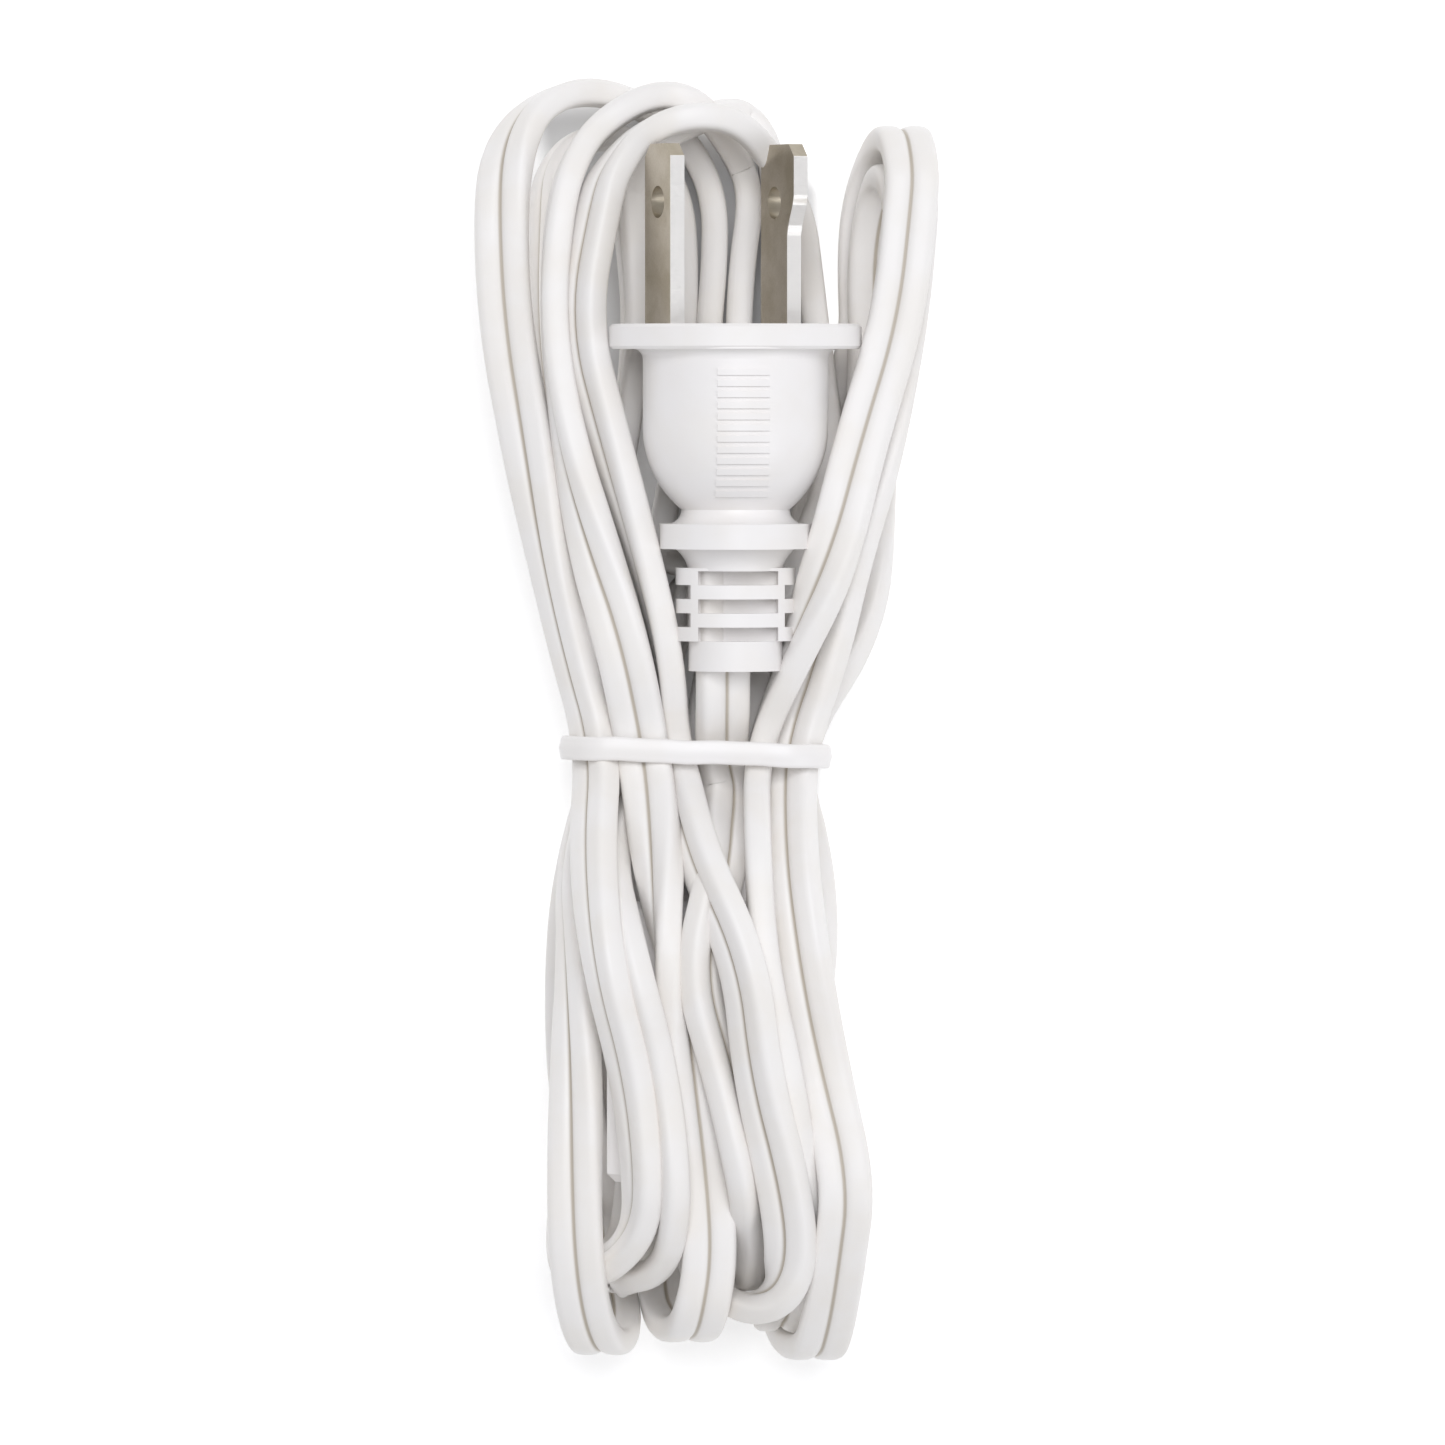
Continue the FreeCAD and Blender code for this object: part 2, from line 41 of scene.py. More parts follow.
# shader maths: an expression on wrapped sockets adds the nodes that it needs
class Wire:
    def __init__(self, tree, socket):
        self.tree, self.socket = tree, socket

    def feed(self, target, value):
        if isinstance(value, Wire):
            self.tree.links.new(value.socket, target)
        else:
            target.default_value = value

    # any node: its type, its settings, its sockets' values or links, and the output wanted
    def node(self, kind, settings=None, inputs=None, out=0):
        made = self.tree.nodes.new(kind)
        for name, value in (settings or {}).items():
            setattr(made, name, value)
        for name, value in (inputs or {}).items():
            self.feed(made.inputs[name], value)
        return Wire(self.tree, made.outputs[out])

    def maths(self, operation, first, second=0.0):
        return self.node("ShaderNodeMath", {"operation": operation}, {0: first, 1: second})

    def __add__(self, other):
        return self.maths("ADD", self, other)

    def __radd__(self, other):
        return self.maths("ADD", other, self)

    def __sub__(self, other):
        return self.maths("SUBTRACT", self, other)

    def __rsub__(self, other):
        return self.maths("SUBTRACT", other, self)

    def __mul__(self, other):
        return self.maths("MULTIPLY", self, other)

    def __rmul__(self, other):
        return self.maths("MULTIPLY", other, self)

    def clamp(self):
        return self.node("ShaderNodeClamp", None, {0: self})

    def between(self, low, high):
        # 0 at low, 1 at high, smooth in between
        return self.node("ShaderNodeMapRange", {"interpolation_type": "SMOOTHSTEP"},
                         {"Value": self, "From Min": low, "From Max": high})

    def blend(self, first, second):
        # first colour where this mask is 0, second where it is 1
        return self.node("ShaderNodeMix", {"data_type": "RGBA"}, {0: self, 6: first, 7: second}, 2)


def newMaterial(name, fixed):
    # a material whose shader has the given uniform values; returns it, a wire to start from, and its shader
    material = bpy.data.materials.new(name)
    material.use_nodes = True
    tree = material.node_tree
    shader = tree.nodes["Principled BSDF"]
    for socket, value in fixed.items():
        shader.inputs[socket].default_value = value
    coords = tree.nodes.new("ShaderNodeTexCoord")
    return material, Wire(tree, coords.outputs["Object"]), shader


def colour(red, green, blue):
    return (red, green, blue, 1.0)


# vinyl of the lead, the plug and the outlet: white and faintly mottled; the lead also has painted shade, a
# darker tint along its groove, and fine extrusion lines
vinyl = {
    "cord": {"tone": colour(0.885, 0.865, 0.845), "warm": colour(0.865, 0.835, 0.795), "rough": 0.45,
             # groove: painted shade, a darker colour laid along the lead's crease where shade falls
             "groove": colour(0.50, 0.45, 0.38)},
    "moulded": {"tone": colour(0.89, 0.87, 0.86), "warm": colour(0.87, 0.845, 0.82), "rough": 0.38},
    "insert": {"tone": colour(0.76, 0.74, 0.70), "warm": colour(0.70, 0.68, 0.64), "rough": 0.45},
}


def vinylMaterial(name, look, lengthwise=False):
    fixed = {"IOR": 1.5, "Subsurface Weight": 0.0, "Specular IOR Level": 0.4}
    material, place, shader = newMaterial(name, fixed)
    mottle = place.node("ShaderNodeTexNoise", None, {"Vector": place, "Scale": 160.0, "Detail": 3.0})
    grain = place.node("ShaderNodeTexNoise", None, {"Vector": place, "Scale": 2600.0, "Detail": 2.0})
    mask = (mottle.between(0.38, 0.66) * 0.8).clamp()
    tint = mask.blend(look["tone"], look["warm"])
    height = mottle * 0.35 + grain * 0.25
    if lengthwise:
        along = place.node("ShaderNodeUVMap", {"uv_map": "lead"})
        fromGroove = place.node("ShaderNodeSeparateXYZ", None, {"Vector": along}, 1)
        # painted shade: the tint darkens towards the groove between the lobes
        tint = fromGroove.between(0.11, 0.015).blend(tint, look["groove"])
        lines = place.node("ShaderNodeMapping", None, {"Vector": along, "Scale": (6.0, 90.0, 1.0)})
        drawn = place.node("ShaderNodeTexNoise", None, {"Vector": lines, "Scale": 1.0, "Detail": 2.0})
        height = height + drawn * 0.5
    bump = place.node("ShaderNodeBump", None, {"Strength": 0.12, "Distance": 0.0002, "Height": height})
    rough = look["rough"] + (mottle - 0.5) * 0.16
    place.feed(shader.inputs["Base Color"], tint)
    place.feed(shader.inputs["Roughness"], rough)
    place.feed(shader.inputs["Normal"], bump)
    return material


cordVinyl = vinylMaterial("cordVinyl", vinyl["cord"], lengthwise=True)
plugVinyl = vinylMaterial("plugVinyl", vinyl["moulded"])
insertPlastic = vinylMaterial("insertPlastic", vinyl["insert"])


# metals: drawn or stamped, with fine scratches along one direction and dull patches
metals = {
    "blade": {"bright": colour(0.58, 0.53, 0.45), "dull": colour(0.42, 0.37, 0.28), "rough": 0.38,
              # the blade's near-white colour for its upper edges is a painted highlight
              "paintedHighlight": colour(0.97, 0.95, 0.92), "scratch": (90.0, 5200.0, 5200.0)},
    "brass": {"bright": colour(0.78, 0.60, 0.30), "dull": colour(0.62, 0.45, 0.22), "rough": 0.3,
              "scratch": (900.0, 90.0, 900.0)},
    "copper": {"bright": colour(0.80, 0.42, 0.26), "dull": colour(0.55, 0.26, 0.16), "rough": 0.35,
               "scratch": (3000.0, 200.0, 3000.0)},
    "steel": {"bright": colour(0.62, 0.62, 0.61), "dull": colour(0.48, 0.48, 0.47), "rough": 0.35,
              "scratch": (300.0, 2000.0, 300.0)},
}


# the blades' place in millimetres, which sets where the painted highlight falls on their upper edges: their
# middle at the plug's face, their turn about the plug's length, how much they rise per millimetre, the narrow
# width's upper edge, and the ramp to the wide blade's edge
blades = {"x": 1.4, "y": 39.6, "z": 16.7, "turn": 24.0, "rise": 0.035, "edge": (3.06, 3.13),
          "ramp": (48.4, 52.4), "step": 1.6}


def axesInMillimetres(place, count):
    return [place.node("ShaderNodeSeparateXYZ", None, {"Vector": place}, i) * 1000.0 for i in range(count)]


def paintedEdgeHighlight(place):
    # mask of the painted highlight: 1 along the blades' upper narrow edges, where light glints: height across
    # a blade, measured square to its turn, above its edge line, which steps up over the wide blade's ramp
    x, y, z = axesInMillimetres(place, 3)
    turn = np.radians(blades["turn"])
    lifted = z - blades["z"] - (y - blades["y"]) * blades["rise"]
    across = (x - blades["x"]) * float(np.sin(turn)) + lifted * float(np.cos(turn))
    wider = y.between(*blades["ramp"]) * x.between(1.0, 2.0) * blades["step"]
    return (across - wider).between(*blades["edge"])


def metalMaterial(name, look, paintedHighlight=False):
    material, place, shader = newMaterial(name, {"Metallic": 1.0})
    brushed = place.node("ShaderNodeMapping", None, {"Vector": place, "Scale": look["scratch"]})
    scratch = place.node("ShaderNodeTexNoise", None, {"Vector": brushed, "Scale": 1.0, "Detail": 3.0})
    patch = place.node("ShaderNodeTexNoise", None, {"Vector": place, "Scale": 240.0, "Detail": 4.0})
    mask = (patch.between(0.35, 0.7) * 0.7 + scratch * 0.3).clamp()
    bump = place.node("ShaderNodeBump", None, {"Strength": 0.15, "Distance": 0.0001, "Height": scratch})
    tint = mask.blend(look["bright"], look["dull"])
    # painted highlight: the blades' upper edges are tinted near white, standing in for light glinting off
    # them
    if paintedHighlight:
        tint = paintedEdgeHighlight(place).blend(tint, look["paintedHighlight"])
    place.feed(shader.inputs["Base Color"], tint)
    place.feed(shader.inputs["Roughness"], look["rough"] + (scratch - 0.5) * 0.3)
    place.feed(shader.inputs["Normal"], bump)
    return material


bladeMetal = metalMaterial("bladeMetal", metals["blade"], paintedHighlight=True)
contactBrass = metalMaterial("contactBrass", metals["brass"])
copperStrands = metalMaterial("copperStrands", metals["copper"])
tieSteel = metalMaterial("tieSteel", metals["steel"])
print("materials made")


# the lead: its thickness, its web between the grooves, rings for each span of the route, points round each
# lobe, and how square the lobes are
lead = {"thick": 2.7, "web": 1.9, "stepsPerSpan": 8, "ringPoints": 19, "square": 0.6}

# route of the lead, in millimetres. Each turn goes up behind at upX, round the top, down in front at x and z,
# and round the bottom; downAt and upAt are the Y of those passes' points. A point is x, y, z and the angle of
# the wide face. faces is that angle at the two ends of the pass behind, and layer says which of the two
# layers behind it lies in
downAt = [52, 40, 28, 17, 7, -3, -13, -24, -35]
upAt = [-50, -38, -26, -14, -3, 10, 24, 38]

# from inside the plug's strain relief to the first bend
leadStart = [(1.4, 15.6, 15.86, -24), (1.4, 10, 15.67, -24), (1.4, 5, 15.5, -24), (1.4, 2, 14.9, -27),
             (1.35, -0.6, 13.2, -32), (1.3, -3.2, 11.2, -38), (1.1, -8, 13.5, -45), (0.8, -14, 17.6, -50),
             (0.7, -24, 18.8, -50), (1.9, -35, 18.8, -52)]

turns = [
    {"name": "lead",
     "bottom": [(3.6, -46, 18.3, -60), (4.7, -51, 16.5, -60), (5.4, -54.8, 13, -45), (5, -56.4, 8.5, -20),
                (3.8, -55.2, 4.5, 0)]},
    {"name": "rightUpper", "upX": [3.0, 3.0, 3.5, 5.0, 6.3, 10.0, 12.6, 14.0], "faces": (0, 0), "layer": -1,
     "top": [(15.0, 46, 2.0, 0), (16.0, 52, 2.4, 0), (17.6, 56.6, 4.8, 0), (18.9, 58.6, 9.4, 0),
             (19.8, 58.0, 14.2, 0), (20.3, 54.8, 16.6, 0)],
     "x": [20.1, 17.9, 14.8, 12.0, 8.6, 5.0, 4.1, 5.4, 7.6],
     "z": [16.5, 17, 17.5, 18, 16, 12.1, 17, 20, 19.5],
     "face": [0, 0, 0, 15, 80, 90, 90, 85, 70],
     "bottom": [(9.6, -44, 18.6, 45), (9.4, -50, 17.5, 20), (8.2, -55.2, 15.5, 5), (7.4, -59.6, 12, 0),
                (6.9, -60.4, 8, 0), (6.4, -58.3, 4, 0)]},
    {"name": "rightLower", "upX": [6.6, 7.0, 7.0, 8.0, 9.0, 12.8, 15.6, 16.8], "faces": (0, 0), "layer": 1,
     "top": [(16.6, 45, 4.8, 0), (17.0, 49.6, 5.3, 0), (17.9, 53.4, 6.6, 0), (18.8, 54.8, 9.4, 0),
             (19.6, 54.0, 12.4, 0), (20.0, 51.4, 13.4, 0)],
     "x": [20.4, 19.3, 17.0, 14.1, 11.7, 9.5, 8.5, 9.3, 10.8],
     "z": [13.6, 14, 14, 14, 13.3, 12.9, 17.5, 20, 20],
     "face": [0, 0, 10, 50, 45, 35, 40, 25, 12],
     "bottom": [(12.3, -46, 19.8, 5), (12.6, -53.6, 18.6, 0), (12.0, -59.6, 15.5, 0), (11, -63.2, 11, 0),
                (8.4, -61.8, 6.5, 0), (7.2, -57.3, 3.5, 0)]},
    {"name": "leftInner", "upX": [7.2, 6.0, 4.5, 4.0, 3.6, 9.0, 12.4, 12.6], "faces": (0, 90), "layer": -1,
     "top": [(10.8, 45, 3, 90), (9.0, 51, 4.6, 90), (6.4, 56.2, 7, 90), (2.8, 60.1, 9.5, 90),
             (-2.2, 60.6, 11.3, 90), (-6.8, 58.5, 13, 82), (-9.7, 55, 14.4, 65)],
     "x": [-11.0, -12.2, -9.6, -6.6, -4.1, -2.4, -0.2, 1.9, 4.7],
     "z": [15, 16, 15.5, 15, 13.5, 12.1, 17.5, 20, 20.4],
     "face": [50, 50, 55, 75, 85, 88, 60, 50, 45],
     "bottom": [(7.6, -46, 20.6, 30), (8.4, -52.8, 19.5, 35), (7.4, -56.8, 16.5, 65), (4.2, -58.7, 13, 85),
                (0.8, -57, 9, 80), (-0.4, -54.4, 5, 50)]},
    {"name": "leftMiddle", "upX": [-0.6, 0.0, 0.5, 0.7, 0.9, 2.0, 2.7, 3.0], "faces": (20, 90), "layer": 1,
     "top": [(3.3, 46, 3.0, 90), (4.4, 53.0, 3.8, 90), (3.4, 58.4, 5, 90), (-0.4, 61.4, 6.5, 90),
             (-5.6, 62.4, 8, 90), (-10.0, 60.6, 9.8, 90), (-12.9, 57.4, 11.5, 88)],
     "x": [-14.9, -15.6, -14.1, -11.5, -8.9, -7.8, -5.9, -4.0, -2.3],
     "z": [14, 14.5, 14.5, 14.3, 13.8, 13.4, 17.5, 20.3, 20],
     "face": [82, 90, 75, 35, 5, 0, 35, 95, 150],
     "bottom": [(-0.2, -46, 19.5, 175), (0.4, -53.6, 18.6, 180), (-0.4, -59.4, 15, 180), (-2, -61.4, 10, 180),
                (-4.4, -60, 5.5, 180), (-5.4, -56, 3, 180)]},
    {"name": "hiddenSmall", "loose": 0.25, "upX": [-5.4, -5.0, -4.8, -4.6, -4.5, -3.6, -2.8, -2.5],
     "faces": (180, 90), "layer": -1,
     "top": [(-2.3, 46, 2.7, 90), (-2.8, 52.5, 2.8, 90), (-5.2, 57, 3.5, 90), (-9.4, 59.2, 4.5, 90),
             (-13.4, 58.4, 5.8, 80), (-15.6, 55.4, 7, 70)],
     "x": [-16.1, -16.4, -14.9, -12.9, -11.1, -10.2, -8.9, -6.9, -5.1],
     "z": [8, 8, 8.5, 9, 9, 9.0, 13.5, 18.7, 18.9],
     "face": [60, 60, 60, 60, 60, 60, 55, 60, 62],
     "bottom": [(-3.5, -45, 18.5, 62), (-3.1, -50.5, 16.5, 75), (-4.8, -54.4, 14, 88), (-8, -55.7, 10.5, 70),
                (-9.6, -54.8, 6.5, 35)]},
    {"name": "leftOuter", "upX": [-8.8, -8.0, -7.7, -7.3, -7.2, -3.5, -0.3, 0.2],
     "faces": (0, 90), "layer": 1,
     "top": [(0.5, 46, 2.9, 90), (0.6, 53.0, 3.2, 90), (-1.6, 58.6, 4, 90), (-6.2, 62.2, 5.2, 90),
             (-12.2, 63.7, 6.8, 88), (-17.2, 61.9, 8.8, 72), (-19.9, 58, 11, 40)],
     "x": [-20.9, -20.5, -18.2, -15.9, -14.0, -12.6, -11.5, -9.2, -7.1],
     "z": [13, 12.5, 12, 11.5, 11.5, 12, 16, 20, 20],
     "face": [8, 0, 20, 50, 55, 55, 55, 60, 58],
     "bottom": [(-6.4, -45, 19.6, 62), (-6.8, -50, 18, 72), (-9, -53.6, 15.5, 80), (-12, -55.1, 12, 60),
                (-13, -54.4, 7.5, 30)]},
    {"name": "lowLeft", "loose": 0.5, "upX": [-11.8, -10.6, -10.3, -10.0, -9.9, -4.0, 4.6, 6.0],
     "faces": (0, 90), "layer": -1,
     "top": [(6.6, 46, 2.7, 90), (7.0, 53, 3.2, 90), (5.4, 58.8, 4.6, 90), (0.8, 61.2, 6.2, 90),
             (-4.4, 59.8, 7, 88), (-7.8, 55.2, 7.2, 80)],
     "x": [-8.1, -7.0, -8.4, -9.9, -10.9, -11.7, -12.4, -13.1, -13.2],
     "z": [7, 6.5, 6.5, 7, 7.5, 8.5, 12.5, 16, 18.5],
     "face": [75, 80, 85, 90, 90, 80, 80, 70, 35],
     "bottom": [(-13.4, -46, 19.6, 12), (-13.2, -53.6, 18.6, 5), (-12.4, -59.6, 15.5, 0), (-11, -62.8, 11, 0),
                (-9, -61.2, 6.5, 0), (-8.3, -56.4, 3, 0)]},
]

# the last pass turns back behind the plug and comes down into the outlet
leadEnd = [(-8.8, -50, 2.2, 0), (-10.6, -38, 2.0, 5), (-12.0, -26, 2.4, 25), (-12.5, -14, 4.0, 70),
           (-12.6, -3, 5.9, 90), (-11.8, 7, 4.5, 90), (-10.0, 14.5, 3.8, 90), (-6.0, 18.5, 4, 90),
           (-2.6, 15.5, 4.4, 90), (-1.6, 8, 5, 90), (-1.7, 1, 5.9, 90), (-1.7, -5, 6.4, 90),
           (-0.3, -9.5, 8.6, 60), (0.6, -13.6, 11.2, 20), (0.6, -16, 11.45, 0), (0.6, -19, 11.45, 0)]


def routePoints():
    # the points of every turn in order; the fifth column says how far the settling may move a point sideways:
    # freely where it is hidden, a little where it is in view
    points, loose = list(leadStart), [0.15] * len(leadStart)
    for turn in turns:
        if "upX" in turn:
            first, last = turn["faces"]
            face = np.interp(upAt, [-50, -30, -3, 18, 38], [first, first, 90, last, last])
            height = np.interp(upAt, [-50, -18, -3, 12, 38], [2.7, 2.9, 5.9, 3.2, 2.8]) + 0.8 * turn["layer"]
            points += list(zip(turn["upX"], upAt, height, face))
            points += turn["top"]
            points += list(zip(turn["x"], downAt, turn["z"], turn["face"]))
            loose += [0.15, 0.2, 0.3, 0.6, 0.7, 0.6, 0.4, 0.15] + [0.08] * len(turn["top"])
            loose += [0.08] * 3 + [turn.get("loose", 0.12)] * 3 + [0.12] * 3
        points += turn["bottom"]
        loose += [0.12] * len(turn["bottom"])
    points, loose = points + leadEnd, loose + [0.7] * len(leadEnd)
    return np.column_stack([np.array(points, float), loose])


def splineWeights(count, steps):
    # rows of quadratic B-spline weights, clamped at both ends, for evenly spaced parameters
    knots = np.concatenate([[0, 0], np.arange(count - 1), [count - 2, count - 2]]).astype(float)
    u = np.linspace(0, count - 2, (count - 1) * steps)
    u[-1] -= 1e-9
    basis = [((u >= knots[i]) & (u < knots[i + 1])).astype(float) for i in range(count + 2)]
    for degree in (1, 2):
        for i in range(count + 2 - degree):
            left, right = knots[i + degree] - knots[i], knots[i + degree + 1] - knots[i + 1]
            rising = (u - knots[i]) / left * basis[i] if left > 0 else 0.0
            falling = (knots[i + degree + 1] - u) / right * basis[i + 1] if right > 0 else 0.0
            basis[i] = rising + falling
    return np.stack(basis[:count], axis=1)


def wideDirection(path, face):
    # unit vector across the lead's wide side: the face angle in the XZ plane, made square to the path
    tangent = np.gradient(path, axis=0)
    tangent /= np.linalg.norm(tangent, axis=1, keepdims=True)
    angle = np.radians(face)
    across = np.stack([np.cos(angle), 0 * angle, np.sin(angle)], axis=1)
    across -= tangent * np.sum(across * tangent, axis=1, keepdims=True)
    across /= np.linalg.norm(across, axis=1, keepdims=True)
    return tangent, across


# settling: overlapping stretches part, mostly in height, and keep off the plug, the outlet and the table.
# far is the length of lead between two places that may touch, and gap the room left between two lobes
settle = {"rounds": 420, "steps": 4, "far": 14.0, "gap": 0.04, "alongShare": 0.05, "pace": 0.45,
          "neighbours": 160}
waist = {"y": -3.1, "half": 2.4, "x": (-14.1, 11.4), "z": (3.2, 16.4), "corner": 4.0, "slant": -2.0}
# the plug's body from its face backwards: radii along it, and its flange, which is wider than it is tall
plug = {"face": (2.65, 39.6, 16.7), "lean": 2.0,
        "flange": (-2.6, 0.1), "flangeWide": 12.6, "flangeTall": 10.3,
        "along": [-34.8, -34.7, -24.8, -24.6, -22.6, -22.4, -20.1, -19.9, -18.5, -15.5, -12, -8.5, -2.6, -2.5,
                  0.0, 0.1],
        "radius": [0.0, 4.4, 5.0, 5.2, 6.0, 7.6, 7.6, 6.0, 5.4, 7.3, 8.7, 9.3, 9.4, 10.3, 10.3, 0.0]}
# two opposite corners of each box that the outlet fills
outlet = {"body": ((-10.2, -46.0, 5.65), (11.4, -18.0, 17.25)),
          "neck": ((-4.2, -18.0, 6.9), (5.4, -13.0, 16.0))}


def plugPush(points):
    # how far each point must move outwards to clear the plug's body; its radius depends on the place along it
    lean = np.radians(plug["lean"])
    rel = points - np.array(plug["face"])
    y = rel[:, 1] * np.cos(lean) + rel[:, 2] * np.sin(lean)
    z = -rel[:, 1] * np.sin(lean) + rel[:, 2] * np.cos(lean)
    radius = np.interp(y, plug["along"], plug["radius"])
    onFlange = (y > plug["flange"][0]) & (y < plug["flange"][1])
    wideShare = np.where(onFlange, plug["flangeWide"] / plug["flangeTall"], 1.0)
    flat = np.hypot(rel[:, 0] / wideShare, z)
    inside = np.where(radius > 0, radius + 0.5 * lead["thick"] + 0.05 - flat, 0.0)
    inside = np.clip(inside, 0, None)
    out = np.stack([rel[:, 0], 0 * flat, z], axis=1) / np.maximum(flat, 1e-6)[:, None]
    return out * inside[:, None]


def boxPush(points, low, high, margin):
    # smallest move along X or Z that takes a point out of a box grown by the margin
    low, high = np.array(low) - margin, np.array(high) + margin
    inside = np.all((points > low) & (points < high), axis=1)
    x, z = points[:, 0], points[:, 2]
    moves = np.stack([low[0] - x, high[0] - x, low[2] - z, high[2] - z], axis=1)
    best = np.argmin(np.abs(moves), axis=1)
    push = np.zeros_like(points)
    amount = moves[np.arange(len(points)), best] * inside
    push[:, 0] = np.where(best < 2, amount, 0)
    push[:, 2] = np.where(best >= 2, amount, 0)
    return push


def waistPush(points, lobe):
    # keeps the strands inside the rounded opening of the tie
    turn = np.radians(waist["slant"])
    middle = 0.5 * sum(waist["x"])
    y = waist["y"] + np.sin(turn) * (points[:, 0] - middle)
    near = np.clip(1.6 - np.abs(points[:, 1] - y) / waist["half"], 0, 1)
    halfSize = np.array([0.5 * (waist["x"][1] - waist["x"][0]), 0.5 * (waist["z"][1] - waist["z"][0])])
    centre = np.array([middle, 0.5 * sum(waist["z"])])
    inner = halfSize - waist["corner"]
    rel = points[:, [0, 2]] - centre
    beyond = np.abs(rel) - inner
    outside = np.clip(beyond, 0, None)
    reach = np.linalg.norm(outside, axis=1)
    excess = np.clip(reach - (waist["corner"] - lobe - 0.05), 0, None)
    direction = outside / np.maximum(reach, 1e-6)[:, None] * np.sign(rel)
    push = np.zeros_like(points)
    push[:, [0, 2]] = -direction * (excess * near)[:, None]
    return push


def settleRoute(points):
    control, face = points[:, :3].copy(), points[:, 3]
    weights = splineWeights(len(control), settle["steps"])
    total = weights.sum(axis=0)[:, None]
    angle = weights @ face
    loose = weights @ points[:, 4]
    share = np.stack([loose, 0 * loose + settle["alongShare"], 0 * loose + 1.0], axis=1)
    lobe = 0.5 * lead["thick"]
    held = np.ones((len(control), 1))
    held[:4], held[-4:] = 0, 0
    for _ in range(settle["rounds"]):
        path = weights @ control
        tangent, across = wideDirection(path, angle)
        length = np.concatenate([[0], np.cumsum(np.linalg.norm(np.diff(path, axis=0), axis=1))])
        lobes = np.concatenate([path + lobe * across, path - lobe * across])
        away = np.concatenate([length, length])
        push = np.zeros_like(lobes)
        worst = 0.0
        order = np.argsort(lobes[:, 1])
        inOrder = lobes[order]
        awayInOrder = away[order]
        moves = np.zeros_like(inOrder)
        for shift in range(1, settle["neighbours"]):
            # each lobe and the one that lies this many places further on in the order of Y
            between = inOrder[shift:] - inOrder[:-shift]
            distance = np.linalg.norm(between, axis=1)
            apart = np.abs(awayInOrder[shift:] - awayInOrder[:-shift]) > settle["far"]
            near = (distance < 2 * lobe + settle["gap"]) & apart
            if not near.any():
                continue
            depth = (2 * lobe + settle["gap"] - distance) * near
            worst = max(worst, depth.max())
            move = between / np.maximum(distance, 1e-6)[:, None] * depth[:, None] * 0.5
            moves[shift:] += move
            moves[:-shift] -= move
        push[order] = moves
        push += plugPush(lobes)
        tied = waistPush(lobes, lobe)
        push += boxPush(lobes, *outlet["body"], lobe + 0.05)
        push += boxPush(lobes, *outlet["neck"], lobe - 0.3)
        push[:, 2] += np.clip(lobe + 0.02 - lobes[:, 2], 0, None)
        half = len(path)
        moved = (push[:half] + push[half:]) * 0.5 * share + (tied[:half] + tied[half:]) * 0.8
        control += held * settle["pace"] * (weights.T @ moved) / total * 2.0
        control[:, 2] = np.maximum(control[:, 2], lobe)
    print("settled: deepest overlap left between two lobes", round(float(worst), 2), "mm")
    return np.concatenate([control, face[:, None]], axis=1)


route = settleRoute(routePoints())


def splinePath(points, steps):
    # the NURBS line through which the lead runs, read back as points
    curve = bpy.data.curves.new("leadLine", "CURVE")
    curve.dimensions = "3D"
    spline = curve.splines.new("NURBS")
    spline.points.add(len(points) - 1)
    spline.points.foreach_set("co", np.column_stack([points[:, :3] * mm, np.ones(len(points))]).ravel())
    spline.order_u = 3
    spline.use_endpoint_u = True
    curve.resolution_u = steps
    holder = bpy.data.objects.new("leadLine", curve)
    bpy.context.scene.collection.objects.link(holder)
    mesh = bpy.data.meshes.new_from_object(holder)
    path = np.empty(len(mesh.vertices) * 3)
    mesh.vertices.foreach_get("co", path)
    bpy.data.objects.remove(holder)
    bpy.data.meshes.remove(mesh)
    return path.reshape(-1, 3)


def addMesh(name, rings, closedAcross, capEnds, material, smooth=True):
    # a grid of points (rows along, columns round) as a mesh; ends closed with a fan to their middle
    rows, columns = rings.shape[:2]
    points = rings.reshape(-1, 3)
    index = np.arange(rows * columns).reshape(rows, columns)
    after = np.roll(index, -1, axis=1) if closedAcross else index[:, 1:]
    here = index if closedAcross else index[:, :-1]
    quads = np.stack([here[:-1], after[:-1], after[1:], here[1:]], axis=-1).reshape(-1, 4)
    faces = [tuple(q) for q in quads.tolist()]
    if capEnds:
        middles = np.stack([rings[0].mean(axis=0), rings[-1].mean(axis=0)])
        points = np.concatenate([points, middles])
        first, last = rows * columns, rows * columns + 1
        faces += list(zip(index[0].tolist(), [first] * columns, np.roll(index[0], -1).tolist()))
        faces += list(zip(np.roll(index[-1], -1).tolist(), [last] * columns, index[-1].tolist()))
    mesh = bpy.data.meshes.new(name)
    mesh.from_pydata(points.tolist(), [], faces)
    if smooth:
        mesh.shade_smooth()
    made = bpy.data.objects.new(name, mesh)
    bpy.context.scene.collection.objects.link(made)
    mesh.materials.append(material)
    return made


def twinProfile():
    # two slightly squared lobes joined by a web, with a narrow groove down the middle of each side;
    # a lobe is a circle whose cosine and sine are raised to a power below one
    r, power = 0.5 * lead["thick"], lead["square"]
    start = np.arcsin((0.5 * lead["web"] / r) ** (1 / power))
    sweep = np.linspace(-(np.pi - start), np.pi - start, lead["ringPoints"])
    shape = np.stack([np.cos(sweep), np.sin(sweep)], axis=1)
    right = r * np.sign(shape) * np.abs(shape) ** power + [r, 0.0]
    groove = np.array([[0.06, 0.5 * lead["web"] - 0.04], [-0.06, 0.5 * lead["web"] - 0.04]])
    return np.concatenate([right, groove, -right, -groove]) * mm


